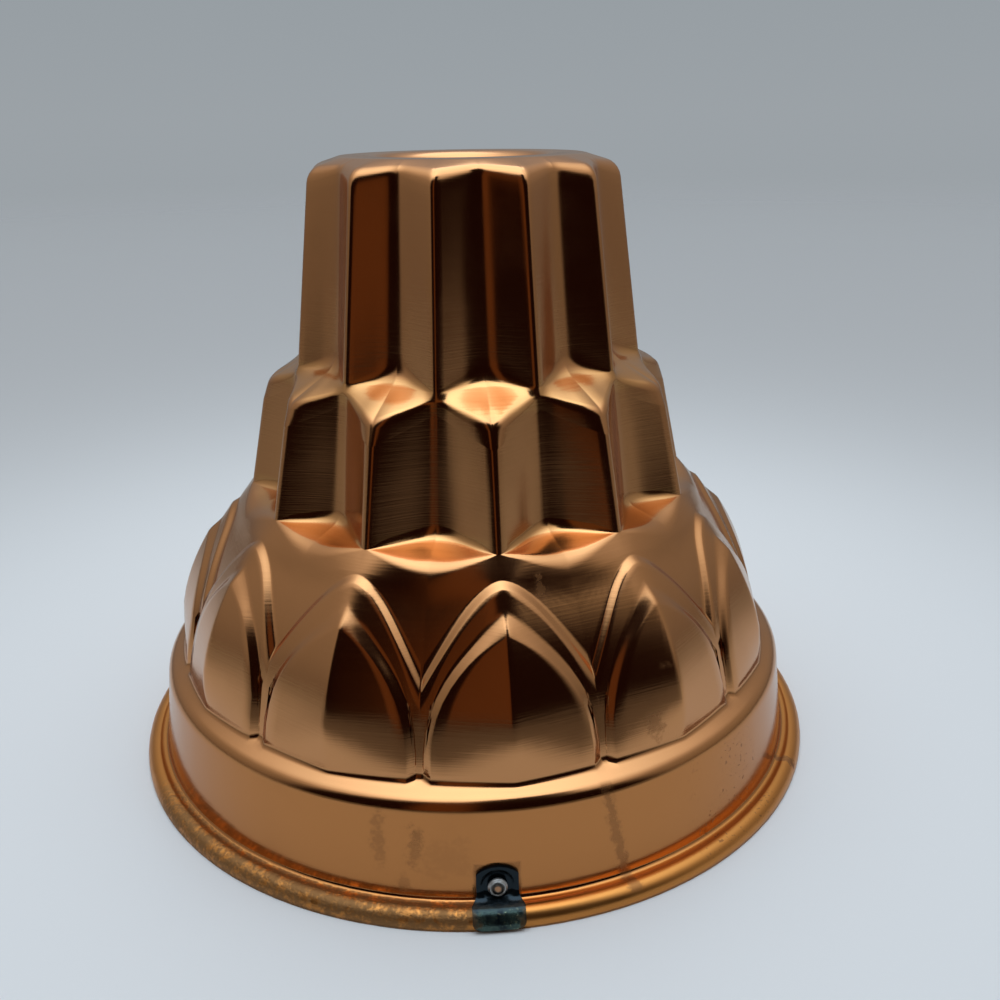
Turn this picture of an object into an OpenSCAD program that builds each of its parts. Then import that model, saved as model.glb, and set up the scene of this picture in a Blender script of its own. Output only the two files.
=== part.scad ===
// Tiered fluted tube pan, standing on its open mouth
// Sizes in millimetres, Z up, origin at the centre of the mouth, a panel ridge facing -Y

/* [Overall] */
// Diameter over the lip of the mouth
rim_d = 208; // [190:1:230]
// Number of flutes, panels and arches round the mould
flutes = 12; // [10:1:16]
// Thickness of the drawn sheet
sheet = 0.8; // [0.6:0.05:1.2]

/* [Lip and band] */
// Width of the lip outside the plain band
lip_w = 6.3; // [5.5:0.1:8]
// Height of the lip where it meets the band
lip_h = 4.1; // [3.6:0.1:5]
// Radius of the fillet between band and lip
fillet_r = 1.8; // [1.2:0.1:2.4]
// Radius of the rolled outer edge of the lip
roll_r = 3.2; // [2.4:0.1:3.6]
// Height of the fine bead pressed into the lip
bead_h = 0.3; // [0.1:0.05:0.5]
// Height of the band up to the narrow ledge
band_h = 31; // [28:0.5:36]
// How far the band draws in from lip to ledge
band_taper = 3.1; // [2:0.1:5]
// Radius of the rounded edge between band and ledge
shoulder_r = 3.3; // [2.4:0.1:3.6]
// Width of the ledge in front of a panel ridge
ledge_w = 3.6; // [3:0.1:5]

/* [Arched dome] */
// Height of the dome above the ledge
dome_h = 49; // [44:0.5:54]
// Diameter of the dome at its top
dome_d = 130; // [122:0.5:138]
// Height of each of the two pressed steps
step_h = 1.3; // [0.8:0.1:1.6]
// Half the width of the sloping edge of a step
edge_w = 0.9; // [0.6:0.1:1.2]
// Extra half width of that edge at the tip of an inner panel
tip_w = 1.5; // [0.5:0.1:2]
// Height of the tip of an outer arch above the ledge
arch_h = 43.4; // [42:0.2:44]
// Height above the ledge at which two outer arches meet
arch_foot_h = 22; // [18:0.5:26]
// Height of the tip of an inner panel above the ledge
panel_h = 36.5; // [34:0.5:38]
// Width of an inner panel as a share of the pitch
panel_share = 0.915; // [0.86:0.005:0.93]
// Drop of the lens-shaped shelf between two lower flutes
shelf_drop = 1.8; // [1:0.1:2.5]

/* [Lower star tier] */
// Height of the lower tier above the dome
lower_h = 30.6; // [26:0.2:36]
// How far its ridges draw in from foot to top
lower_in = 6.6; // [5:0.2:10]
// Depth of its valleys behind the ridges at the foot
lower_depth = 17.6; // [14:0.2:19]

/* [Upper star tier] */
// Rise of the shield-shaped shelf to the upper tier
shield_rise = 7; // [5:0.2:9]
// Height of the upper tier above that shelf
upper_h = 53.4; // [44:0.2:60]
// How far its ridges stand out from the valleys of the lower tier
neck_out = 2.1; // [1:0.1:3]
// How far its ridges draw in from foot to crown
upper_in = 6.3; // [4:0.1:8]
// Depth of its valleys at the foot
flute_foot_d = 6.6; // [4:0.2:7.5]
// Depth of its valleys below the crown
flute_top_d = 4.8; // [3:0.2:5.6]

/* [Crown ring and tube] */
// Width of the flat ring between the flutes and the roll into the tube
ring_w = 7.3; // [5:0.1:10]
// How far the tube draws in from crown to tip
tube_taper = 5.5; // [3:0.5:7]
// Width of the rounded lip round the hole in the tip of the tube
tube_lip = 2.5; // [1.5:0.5:4]
// Height of the tip above the mouth
tube_tip_h = 14; // [8:1:30]
// Radius of the roll from crown ring into tube
crown_roll_r = 6; // [4:0.5:7]

/* [Hanger tab and rivet] */
// Angle of the tab to the left of the front ridge
tab_angle = 3.4; // [0:0.1:12]
// Width of the leg that is riveted to the band
tab_leg_w = 10.3; // [8:0.1:12]
// Width of the foot that lies over the lip
tab_foot_w = 12.8; // [11:0.1:15]
// Height of the top of the arched leg
tab_h = 14; // [12.5:0.1:17]
// Thickness of the tab
tab_t = 1; // [0.8:0.1:1.4]
// Height of the rivet above the mouth
rivet_h = 8.2; // [7.9:0.1:9.2]
// Radius of the rivet heads
rivet_head_r = 2.4; // [2:0.1:2.8]
// Radius of the rivet shank
rivet_r = 1.4; // [1.1:0.1:1.6]
// Height of the outer rivet head
rivet_head_h = 1; // [0.6:0.1:1.4]
// Thickness of the inner head
rivet_tail_h = 0.8; // [0.6:0.1:1.2]
// Room between the inner head and the curve of the band
rivet_seat = 0.06; // [0.02:0.01:0.1]

/* [Hidden] */
$fn = 96;
rim_r = rim_d / 2;
half = 180 / flutes;
foot_r = rim_r - lip_w;
band_r = foot_r - band_taper;
panel_r = band_r - ledge_w;
lap = 1.2;
lap_r = panel_r + lap;
draft = atan(band_taper / (band_h - lip_h));

// Heights of the tiers, from the mouth up
dome_z = band_h + dome_h;
shield_z = dome_z + lower_h;
upper_z = shield_z + shield_rise;
crown_z = upper_z + upper_h;

// Radii of the tiers, from the dome in
dome_r = dome_d / 2;
base_r = panel_r - 2 * step_h;
ridge_r = dome_r - lower_in;
valley_r = dome_r - lower_depth;
neck_r = valley_r + neck_out;
crown_r = neck_r - upper_in;
ring_r = crown_r - 7.4;
lap_in = lap + 0.8;
tube_top_r = ring_r - lap_in - ring_w - crown_roll_r;
tube_tip_r = tube_top_r - tube_taper;
tube_hole_r = tube_tip_r - tube_lip;

function mix(a, b, f) = a + (b - a) * f;
function clamp01(f) = min(1, max(0, f));
function ease(f) = let (x = clamp01(f)) x * x * (3 - 2 * x);
function arc(c, r, a, b, n) = [for (i = [0:n]) c + r * [cos(mix(a, b, i / n)), sin(mix(a, b, i / n))]];
function reversed(v) = [for (i = [len(v) - 1:-1:0]) v[i]];

// Offset of a profile path to its right-hand side, mitred at the corners
function side(a, b) = let (d = (b - a) / norm(b - a)) [d.y, -d.x];
function corner(p, i, d) =
  let (n1 = side(p[max(i - 1, 0)], p[max(i, 1)]))
  let (n2 = side(p[min(i, len(p) - 2)], p[min(i + 1, len(p) - 1)]))
  p[i] + d * (n1 + n2) / (1 + n1 * n2);
function moved(p, d) = [for (i = [0:len(p) - 1]) corner(p, i, d)];
function strip(p, d) = concat(p, reversed(moved(p, d)));

// Radius of a flat facet between a ridge at f = 0 and a ridge or valley at f = 1
function facet(rp, rq, f) =
  rp * rq * sin(half) / (rp * sin(half * f) + rq * sin(half * (1 - f)));
function facet_reach(rp, rq) =
  rp * rq * sin(half) / sqrt(rp * rp + rq * rq - 2 * rp * rq * cos(half));

// Shares of a half pitch at which the columns of the sheet stand
col = [0, 0.3, 0.58, 0.8, 0.89, 0.93, 0.97, 1];
col_tier = [0, 0, 0, 0.5, 0.5, 1, 1, 1];
col_shelf = [0, 0.25, 0.5, 0.75, 0.75, 1, 1, 1];
last = len(col) - 1;

// A row of a star tier: ridge point, valley point, and the sheet's inward and downward shares
function star(p, q, ip, iq, cols = col_tier) = [for (f = cols)
  let (r = facet(p.x, q.x, f))
  let (reach = facet_reach(p.x, q.x))
  let (in = mix(ip.x, iq.x, f) * sheet * r / reach)
  [f, r, mix(p.y, q.y, f), r - in, mix(p.y, q.y, f) - mix(ip.y, iq.y, f) * sheet]];

// Height of the ledge, which rounds over into the band
function ledge_z(r) = let (out = max(0, r - band_r + shoulder_r))
  band_h - shoulder_r + sqrt(shoulder_r * shoulder_r - out * out);

// A round row of the sheet
function ring(r, z, ri, zi) = [for (f = foot_cols) [f, r, z, ri, zi]];

// The dome: a bowed profile whose section turns from facets at its foot to round at its top
function bow(z) = clamp01((z - band_h) / dome_h);
function dome_base(f, z) =
  let (r = mix(base_r, dome_r, pow(bow(z), 2)))
  mix(facet(r, r * cos(half), f), r, ease((bow(z) - 0.79) / 0.21));
function dome_lean(z) = atan(2 * (base_r - dome_r) * bow(z) / dome_h);
function dome(f, z, level) =
  let (r = dome_base(f, z) + step_h * level)
  [f, r, z, r - sheet * cos(dome_lean(z)), z - sheet * sin(dome_lean(z))];

// Lines of the outer arch and of the inner panel, as heights over the share of the half pitch
arch_bend = 1.75;
panel_bend = 2.85;
rise = 1.25;
half_w = panel_r * PI / flutes * 0.86;
function arch_z(f) = band_h + mix(arch_h, arch_foot_h, pow(f, arch_bend));
function arch_slope(f) = arch_bend * (arch_h - arch_foot_h) * pow(f, arch_bend - 1) / half_w;
function arch_edge(f) = edge_w * sqrt(1 + pow(arch_slope(f), 2)) / rise;
panel_drop = panel_h - 2.5;
function panel_part(f) = clamp01(1 - f / panel_share);
function panel_z(f) = band_h + panel_h - panel_drop * (1 - pow(panel_part(f), 1 / panel_bend));
function panel_slope(f) = panel_drop / panel_bend / panel_share / half_w
  * pow(max(panel_part(f), 0.01), 1 / panel_bend - 1);
panel_edge_w = edge_w * 0.8;
function tip_part(f) = pow(clamp01(1 - 2 * f), 2);
function panel_edge(f) =
  (panel_edge_w + tip_w * tip_part(f)) * sqrt(1 + pow(panel_slope(f), 2)) / rise;
edge_f = panel_edge_w / half_w;
near_f = 0.975 * panel_share;

// Corners of the panel edge: plain columns first, then the upright side, then the mullion
outer_edge = concat(
  [for (i = [0:3]) [col[i] * panel_share / 0.915, panel_z(col[i]) + panel_edge(col[i])]],
  [[near_f + edge_f, panel_z(near_f)],
   [panel_share + edge_f, band_h + 2.5],
   [panel_share + edge_f, band_h],
   [1, band_h]]);
inner_edge = concat(
  [for (i = [0:3]) [col[i] * panel_share / 0.915, panel_z(col[i]) - panel_edge(col[i])]],
  [[near_f - edge_f, panel_z(near_f) - 1],
   [panel_share - edge_f, band_h],
   [panel_share + edge_f, band_h],
   [1, band_h]]);
foot_cols = [for (p = inner_edge) p.x];

function dome_top(f) = dome_z - shelf_drop * ease(f);
function spandrel(s) = [for (f = col)
  dome(f, mix(dome_top(f), arch_z(f) + arch_edge(f), s), 0)];
function between(s) = [for (i = [0:last])
  let (a = [col[i], arch_z(col[i]) - arch_edge(col[i])])
  let (p = mix(a, outer_edge[i], s))
  dome(p.x, p.y, 1)];
function panel(s) = [for (i = [0:last])
  let (p = inner_edge[i])
  dome(p.x, mix(p.y, band_h, s), i < 6 ? 2 : 1)];
panel_foot = [for (p = panel(1)) [p[0], p[1], p[2], p[1] - sheet, p[2] - sheet]];
dome_lip = [for (f = col)
  let (p = dome(f, dome_top(f), 0))
  [f, p[1], p[2], p[1] - mix(0.9, 0.43, f) * sheet, p[2] - mix(0.5, 1, f) * sheet]];

rows = concat(
  // Crown edge and upper star
  [[for (f = foot_cols) [f, ring_r - lap, crown_z - 0.25, ring_r - lap, crown_z - 0.5]],
   [for (f = foot_cols) [f, ring_r, crown_z - 0.04, ring_r, crown_z - sheet * 0.9]],
   star([crown_r - flute_top_d - 1.2, crown_z - 1], [crown_r - 3.8, crown_z - 1.2],
     [0.6, 0.9], [0.5, 0.95]),
   star([crown_r - flute_top_d - 0.1, crown_z - 2.8], [crown_r - 1.4, crown_z - 3.6],
     [0.95, 0.3], [0.85, 0.5]),
   star([crown_r - flute_top_d + 0.1, crown_z - 5.6], [crown_r, crown_z - 7.4],
     [1, 0.05], [1, 0.05]),
   star([neck_r - flute_foot_d, upper_z + 3], [neck_r, upper_z],
     [1, 0.1], [1, 0.1]),
   star([neck_r - flute_foot_d + 2, upper_z], [neck_r + 0.2, upper_z - 0.8],
     [0.8, 0.7], [1, 0.1])],
  // Shield shelf and lower star
  [star([ridge_r - 0.8, shield_z + 0.6], [neck_r, upper_z - 2],
     [0.9, 0.64], [1, 0.1]),
   star([ridge_r + 0.5, shield_z - 1.2], [valley_r + 0.5, upper_z - 4.5],
     [1, 0.2], [1, 0.1]),
   star([dome_r - 0.6, dome_z + 1.6], [valley_r, dome_z + 3],
     [1, 0.2], [1, 0.2]),
   star([dome_r - 0.15, dome_z + 0.3], [valley_r + 2, dome_z + 0.2],
     [0.92, 0.5], [0.6, 0.9], col_shelf)],
  // Lens shelf, spandrels, outer arches and panels
  [dome_lip],
  [for (s = [1 / 3, 2 / 3, 1]) spandrel(s)],
  [for (s = [0, 0.5, 1]) between(s)],
  [for (s = [0, 0.25, 0.6]) panel(s)],
  // Foot of the panels and the part of the ledge that the skirt laps
  [panel_foot,
   ring(lap_r, ledge_z(lap_r) - 0.04, lap_r, ledge_z(lap_r) - sheet * 0.95),
   ring(lap_r + lap, ledge_z(lap_r + lap) - 0.25, lap_r + lap, ledge_z(lap_r + lap) - 0.5)]);

// The rows turned round the axis: odd half pitches run back from valley to ridge
function turned(row, ri, zi) = [for (k = [0:2 * flutes - 1]) for (i = [0:last - 1])
  let (odd = k % 2)
  let (p = row[odd ? last - i : i])
  let (a = half * (odd ? k + 1 - p[0] : k + p[0]) - 90)
  [p[ri] * cos(a), p[ri] * sin(a), p[zi]]];
cols = 2 * flutes * last;
skin = [for (row = rows) each turned(row, 1, 2)];
lining = [for (row = rows) each turned(row, 3, 4)];
points = concat(skin, lining);
count = len(rows) * cols;
function quad(a, b, c, d) = [[a, b, c], [a, c, d]];
function at(j, i) = j * cols + i % cols;
function apart(a, b) = norm(points[a] - points[b]) > 0.001;
function sound(t) = apart(t[0], t[1]) && apart(t[1], t[2]) && apart(t[2], t[0]);
tops = len(rows) - 1;
tris = concat(
  [for (j = [0:tops - 1]) for (i = [0:cols - 1])
    each quad(at(j, i), at(j, i + 1), at(j + 1, i + 1), at(j + 1, i))],
  [for (j = [0:tops - 1]) for (i = [0:cols - 1])
    each quad(count + at(j + 1, i), count + at(j + 1, i + 1), count + at(j, i + 1), count + at(j, i))],
  [for (i = [0:cols - 1]) each quad(count + at(0, i), count + at(0, i + 1), at(0, i + 1), at(0, i))],
  [for (i = [0:cols - 1])
    each quad(at(tops, i), at(tops, i + 1), count + at(tops, i + 1), count + at(tops, i))]);

// Profile of ledge, band and lip, along the outside of the sheet
shoulder_c = [band_r - shoulder_r, band_h - shoulder_r];
skirt_start = acos((lap_r + 0.4 * lap - shoulder_c.x) / shoulder_r);
roll_c = [rim_r - roll_r, lip_h - roll_r];
bead_x = foot_r + fillet_r + 1.1;
skirt_path = concat(
  arc(shoulder_c, shoulder_r, skirt_start, draft, 6),
  arc([foot_r + fillet_r, lip_h + fillet_r], fillet_r, 180 + draft, 270, 5),
  [[bead_x, lip_h], [bead_x + 0.5, lip_h + bead_h]],
  arc(roll_c, roll_r, 80, 0, 6),
  [[rim_r, 0]]);

// Profile of the tube, its rounded tip and the crown ring, along the inside of the tube
crown_path = concat(
  arc([tube_hole_r, tube_tip_h + tube_lip], tube_lip, 270, 360, 4),
  arc([tube_top_r + crown_roll_r, crown_z - crown_roll_r], crown_roll_r, 180, 90, 6),
  [[ring_r - lap_in, crown_z], [ring_r - 0.3, crown_z - 0.03]]);

// Point on the band where the rivet goes through, and the tilt of the band there
rivet_x = foot_r + fillet_r * (1 - cos(draft)) - (rivet_h - lip_h - fillet_r) * tan(draft);
module at_tab() rotate([0, 0, -90 - tab_angle]) children();
module at_rivet() at_tab() translate([rivet_x, 0, rivet_h]) rotate([0, 90 - draft, 0]) children();

module mould_shell() {
  color([0.72, 0.42, 0.26]) {
    polyhedron(points, [for (t = tris) if (sound(t)) t], convexity = 12);
    difference() {
      rotate_extrude() polygon(strip(skirt_path, sheet));
      at_rivet() cylinder(r = rivet_r, h = 6, center = true);
    }
    rotate_extrude() polygon(strip(crown_path, sheet));
  }
}

tab_low = 2.6;
tab_round = 2;
tab_path = [for (p = skirt_path) if (p.y < lip_h + fillet_r && p.y > tab_low - 2) p];
tab_top = [foot_r + fillet_r * (1 - cos(draft)) - (tab_h + 1 - lip_h - fillet_r) * tan(draft), tab_h + 1];

module tab_outline() {
  translate([0, tab_h - tab_leg_w / 2]) circle(d = tab_leg_w);
  translate([-tab_leg_w / 2, 0]) square([tab_leg_w, tab_h - tab_leg_w / 2]);
  translate([-tab_foot_w / 2, tab_round]) square([tab_foot_w, lip_h + 1.35 * tab_t - tab_round]);
  for (s = [-1, 1]) translate([s * (tab_foot_w / 2 - tab_round), tab_round]) circle(r = tab_round);
}

module hanger_tab() {
  color([0.12, 0.16, 0.2]) difference() {
    intersection() {
      rotate_extrude() polygon(strip(concat([tab_top], tab_path), -tab_t));
      at_tab() translate([rim_r - 20, 0, 0]) rotate([90, 0, 90]) linear_extrude(30) tab_outline();
    }
    at_rivet() cylinder(r = rivet_r, h = 6, center = true);
  }
}

rivet_in = -sheet - rivet_seat;

module rivet() {
  color([0.6, 0.6, 0.58]) at_rivet() rotate_extrude() polygon([
    [0, rivet_in - rivet_tail_h], [rivet_head_r - rivet_tail_h / 2, rivet_in - rivet_tail_h],
    [rivet_head_r, rivet_in - rivet_tail_h / 2],
    [rivet_head_r, rivet_in], [rivet_r, rivet_in], [rivet_r, tab_t], [rivet_head_r, tab_t],
    [rivet_head_r, tab_t + rivet_head_h * 0.5], [rivet_head_r - 0.5, tab_t + rivet_head_h],
    [0, tab_t + rivet_head_h]]);
}

mould_shell();
hanger_tab();
rivet();
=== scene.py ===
"""Finish and photograph setting of a tall tiered baking mould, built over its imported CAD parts."""

import math
from collections import namedtuple

import bmesh
import bpy
from mathutils import Matrix, Vector


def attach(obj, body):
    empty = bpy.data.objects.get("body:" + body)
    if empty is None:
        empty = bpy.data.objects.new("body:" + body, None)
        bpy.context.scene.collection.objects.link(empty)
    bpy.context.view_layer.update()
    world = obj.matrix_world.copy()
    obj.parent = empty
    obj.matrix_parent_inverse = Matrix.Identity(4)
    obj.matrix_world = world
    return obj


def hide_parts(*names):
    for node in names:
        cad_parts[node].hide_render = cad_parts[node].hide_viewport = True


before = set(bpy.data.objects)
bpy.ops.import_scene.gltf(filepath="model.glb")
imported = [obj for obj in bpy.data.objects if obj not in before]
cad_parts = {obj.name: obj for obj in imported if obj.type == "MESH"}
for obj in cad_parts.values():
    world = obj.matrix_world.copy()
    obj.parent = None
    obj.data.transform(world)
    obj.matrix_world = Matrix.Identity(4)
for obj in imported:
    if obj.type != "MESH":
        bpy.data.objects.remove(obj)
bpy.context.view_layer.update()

bl_info = {
    "name": "Tiered Fluted Mould",
    "version": (1, 0, 0),
    "blender": (4, 5, 0),
    "location": "View3D > Sidebar > Mould",
    "description": "Builds a tiered mould's drawn shell, hanger tab and rivet, and its table",
    "category": "Add Mesh",
}

MM = 0.001
MM_PER_M = 1000
FLUTES = 12
HALF = math.pi / FLUTES


def mix(a, b, share):
    return a + (b - a) * share


def clamp(value):
    return min(1.0, max(0.0, value))


def ease(value):
    x = clamp(value)
    return x * x * (3 - 2 * x)


def even(count):
    """Shares from 0 to 1 at even steps."""
    return [k / (count - 1) for k in range(count)]


# Nodes and sockets


class Wire:
    """A value socket that takes part in sums: each operator adds the Math node that does it."""

    def __init__(self, tree, socket):
        self.tree = tree
        self.socket = socket

    def _math(self, operation, *values):
        node = self.tree.nodes.new("ShaderNodeMath")
        node.operation = operation
        for place, value in zip(node.inputs, values):
            if isinstance(value, Wire):
                self.tree.links.new(value.socket, place)
            else:
                place.default_value = value
        return Wire(self.tree, node.outputs[0])

    def __add__(self, other):
        return self._math("ADD", self, other)

    def __radd__(self, other):
        return self._math("ADD", other, self)

    def __sub__(self, other):
        return self._math("SUBTRACT", self, other)

    def __rsub__(self, other):
        return self._math("SUBTRACT", other, self)

    def __mul__(self, other):
        return self._math("MULTIPLY", self, other)

    def __rmul__(self, other):
        return self._math("MULTIPLY", other, self)

    def __truediv__(self, other):
        return self._math("DIVIDE", self, other)

    def __rtruediv__(self, other):
        return self._math("DIVIDE", other, self)

    def __pow__(self, other):
        return self._math("POWER", self, other)

    def __abs__(self):
        return self._math("ABSOLUTE", self)

    def root(self):
        return self._math("SQRT", self)

    def at_least(self, other):
        return self._math("MAXIMUM", self, other)

    def angle(self, other):
        return self._math("ARCTAN2", self, other)

    def rise(self, low, high):
        """0 below low, 1 above high and a soft step between; high below low turns it round."""
        node = self.tree.nodes.new("ShaderNodeMapRange")
        node.interpolation_type = "SMOOTHSTEP"
        self.tree.links.new(self.socket, node.inputs["Value"])
        flip = high < low
        node.inputs["From Min"].default_value = high if flip else low
        node.inputs["From Max"].default_value = low if flip else high
        node.inputs["To Min"].default_value = 1.0 if flip else 0.0
        node.inputs["To Max"].default_value = 0.0 if flip else 1.0
        return Wire(self.tree, node.outputs["Result"])

    def band(self, low, high, soft):
        """1 between low and high, falling to 0 over the soft width outside them."""
        return self.rise(low - soft, low) * self.rise(high + soft, high)


class Finish:
    """A node tree with one way of adding a node."""

    def __init__(self, tree):
        self.tree = tree
        tree.nodes.clear()

    def add(self, kind, settings=None, sockets=None):
        """A new node with its settings, then its sockets as values or links."""
        node = self.tree.nodes.new(kind)
        for name, value in (settings or {}).items():
            if name == "stops":
                ramp = node.color_ramp
                while len(ramp.elements) < len(value):
                    ramp.elements.new(1.0)
                for element, (place, colour) in zip(ramp.elements, value):
                    element.position = place
                    element.color = colour
            else:
                setattr(node, name, value)
        for name, value in (sockets or {}).items():
            place = node.inputs[name]
            if isinstance(value, Wire):
                self.tree.links.new(value.socket, place)
            elif isinstance(value, bpy.types.NodeSocket):
                self.tree.links.new(value, place)
            else:
                place.default_value = value
        return node

    def wire(self, socket):
        return Wire(self.tree, socket)

    def axes(self, where):
        """The x, y and z of a vector socket."""
        split = self.add("ShaderNodeSeparateXYZ", sockets={0: where})
        return [self.wire(socket) for socket in split.outputs]

    def own_place(self):
        """The piece's own coordinates: the vector socket, then its x, y and z in metres."""
        where = self.add("ShaderNodeTexCoord").outputs["Object"]
        return where, *self.axes(where)

    def blend(self, share, first, second):
        """Mix of two colours or colour sockets, which are the Mix node's sockets 6 and 7."""
        sockets = {0: share, 6: first, 7: second}
        return self.add("ShaderNodeMix", {"data_type": "RGBA"}, sockets).outputs[2]

    def coats(self, colour, *coats):
        """A colour under further ones, each given as its share and its colour."""
        for share, over in coats:
            colour = self.blend(share, colour, over)
        return colour

    def noise(self, where, scale, detail=2.0, rough=0.5):
        sockets = {"Vector": where, "Scale": scale, "Detail": detail, "Roughness": rough}
        return self.wire(self.add("ShaderNodeTexNoise", sockets=sockets).outputs["Fac"])

    def stretch(self, where, scale):
        return self.add("ShaderNodeMapping", sockets={"Vector": where, "Scale": scale}).outputs[0]

    def ramp(self, share, stops):
        return self.add("ShaderNodeValToRGB", {"stops": stops}, {"Fac": share}).outputs[0]

    def metal(self, colour, metallic, rough, relief):
        """The surface of a metal, with its relief in metres."""
        bump = self.add(
            "ShaderNodeBump", sockets={"Strength": 1.0, "Distance": 1.0, "Height": relief}
        )
        shader = self.add(
            "ShaderNodeBsdfPrincipled",
            sockets={
                "Base Color": colour,
                "Metallic": metallic,
                "Roughness": rough,
                "Normal": bump.outputs[0],
            },
        )
        self.add("ShaderNodeOutputMaterial", sockets={"Surface": shader.outputs[0]})


def rgba(colour):
    return (colour[0], colour[1], colour[2], 1.0)


def new_material(name):
    material = bpy.data.materials.new(name)
    material.use_nodes = True
    return material, Finish(material.node_tree)


# Sizes and colours that a user would change


class ShellSettings(bpy.types.PropertyGroup):
    """Sizes and finish of the drawn shell."""

    sheet: bpy.props.FloatProperty(
        name="Sheet",
        description="Thickness of the drawn sheet",
        default=0.0008,
        unit="LENGTH",
    )
    ridge_round: bpy.props.FloatProperty(
        name="Ridge rounding",
        description="Share of a half pitch over which a ridge of a star tier is rounded",
        default=0.1,
        subtype="FACTOR",
    )
    valley_round: bpy.props.FloatProperty(
        name="Valley rounding",
        description="Share of a half pitch over which a valley of a star tier is rounded",
        default=0.22,
        subtype="FACTOR",
    )
    panel_round: bpy.props.FloatProperty(
        name="Panel ridge rounding",
        description="Share of a half pitch over which the ridge of a panel is rounded",
        default=0.035,
        subtype="FACTOR",
    )
    copper: bpy.props.FloatVectorProperty(
        name="Copper",
        description="Colour of the sheet",
        default=(0.61, 0.285, 0.118),
        subtype="COLOR",
    )
    # Darker, redder colour over the band below the ledge.
    band: bpy.props.FloatVectorProperty(
        name="Band",
        description="Colour of the slightly tarnished band",
        default=(0.50, 0.195, 0.055),
        subtype="COLOR",
    )
    # Paler colour on the shelves: a painted reflection of the bright light above.
    shelf_reflection: bpy.props.FloatVectorProperty(
        name="Shelves",
        description="Colour of the paler shelves between the tiers",
        default=(0.70, 0.36, 0.138),
        subtype="COLOR",
    )
    brim: bpy.props.FloatVectorProperty(
        name="Brim",
        description="Colour of the dull brim",
        default=(0.60, 0.245, 0.058),
        subtype="COLOR",
    )
    # Also the colour of the painted shadow round the tab.
    stain_and_shadow: bpy.props.FloatVectorProperty(
        name="Stain",
        description="Colour of dull brown stains",
        default=(0.30, 0.13, 0.05),
        subtype="COLOR",
    )
    polish: bpy.props.FloatProperty(
        name="Polish",
        description="Roughness of the clean sheet",
        default=0.12,
        subtype="FACTOR",
    )


class FittingSettings(bpy.types.PropertyGroup):
    """Size and finish of the hanger tab and its rivet."""

    strip: bpy.props.FloatProperty(
        name="Strip",
        description="Thickness of the tab",
        default=0.0009,
        unit="LENGTH",
    )
    blued: bpy.props.FloatVectorProperty(
        name="Blued steel",
        description="Colour of the tab",
        default=(0.012, 0.02, 0.026),
        subtype="COLOR",
    )
    bloom: bpy.props.FloatVectorProperty(
        name="Bloom",
        description="Colour of the green bloom on the tab's foot",
        default=(0.06, 0.1, 0.085),
        subtype="COLOR",
    )
    rust: bpy.props.FloatVectorProperty(
        name="Rust",
        description="Colour of rust on the tab",
        default=(0.11, 0.055, 0.02),
        subtype="COLOR",
    )
    rivet: bpy.props.FloatVectorProperty(
        name="Rivet",
        description="Colour of the rivet head",
        default=(0.46, 0.46, 0.45),
        subtype="COLOR",
    )


class StageSettings(bpy.types.PropertyGroup):
    """Colours of the table, with a painted pool of light near the mould, and size and power of the
    lamp.
    """

    floor: bpy.props.FloatVectorProperty(
        name="Floor",
        description="Colour of the table near the mould",
        default=(0.735, 0.73, 0.735),
        subtype="COLOR",
    )
    far_floor: bpy.props.FloatVectorProperty(
        name="Far floor",
        description="Colour of the table far behind",
        default=(0.43, 0.42, 0.42),
        subtype="COLOR",
    )
    lamp_power: bpy.props.FloatProperty(
        name="Lamp power",
        description="Power of the soft lamp overhead",
        default=0.62,
        unit="POWER",
    )
    lamp_size: bpy.props.FloatProperty(
        name="Lamp size",
        description="Width of the soft lamp",
        default=0.9,
        unit="LENGTH",
    )


# Form of the shell, in millimetres: t is the share of a half pitch, 0 at a panel ridge

BAND_H = 31.0
DOME_Z = 80.0
CROWN_Z = 171.0
BASE_R = 88.4
DOME_R = 65.0
SHELF_DROP = 2.1
LIP_DROP = 4.2
FOOT_Z = BAND_H + 2.0

# Tube and crown
TUBE_TIP_R, TUBE_TIP_Z, TUBE_R, TUBE_TIP_ROUND = 12.5, 14.0, 15.0, 2.5
TUBE_TOP_R, TUBE_TOP_ROUND = 20.62, 6.0
CROWN_R, CROWN_ROUND = 33.5, 4.0

# Star tiers: radius, height and rounding at t = 0 and 1, segments of the arc and up to the next
UPPER_TOP = (38.25, 42.75), (169.2, 168.3), (2.8, 5.5), 5, 4
UPPER_FOOT = (43.1, 49.55), (119.0, 117.2), (7.0, 1.5), 5, 2
LOWER_BROW = (59.3, 49.75), (111.0, 115.2), (4.5, 2.5), 5, 1
LOWER_TOP = (59.75, 49.7), (105.0, 111.8), (0.5, 4.0), 3, 2
LOWER_FOOT = (64.93, 55.0), (80.15, 81.2), (2.0, 4.5), 6, 2
RIM_ROUND = (1.5, 8.0)
RIM_SHARE = 0.9

# Roundings in plan at the shelves, as shares of a half pitch
BROW_ROUND, TROUGH_ROUND, BOWL_ROUND = 0.3, 0.45, 0.5

# The top of the lower tier's facets is let out by this
LOWER_SWELL = 0.4

# Dome: flat panels in plan, rounder over the lowest quarter and from 0.79 of the height upwards
OUTER_ROUND, CORNER_ROUND = 0.2, 0.01
FOOT_SHARE, FOOT_BLEND, FOOT_IN = 0.25, 0.7, 0.985
ROUND_FROM, ROUND_SHARE = 0.79, 0.21

# Steps of the arch and of the inner panel: height outwards, half widths, and more at the tip
STEP = 1.3
RISER_SOFT = 0.35
ARCH_W, PANEL_W = 0.9, 1.05
TIP_W, TIP_FROM, TIP_SHARE, TIP_POWER = 1.0, 0.74, 0.26, 1.5
POINT_FROM, POINT_SHARE, POINT_STEEPEST = 0.93, 0.07, 0.1

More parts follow.
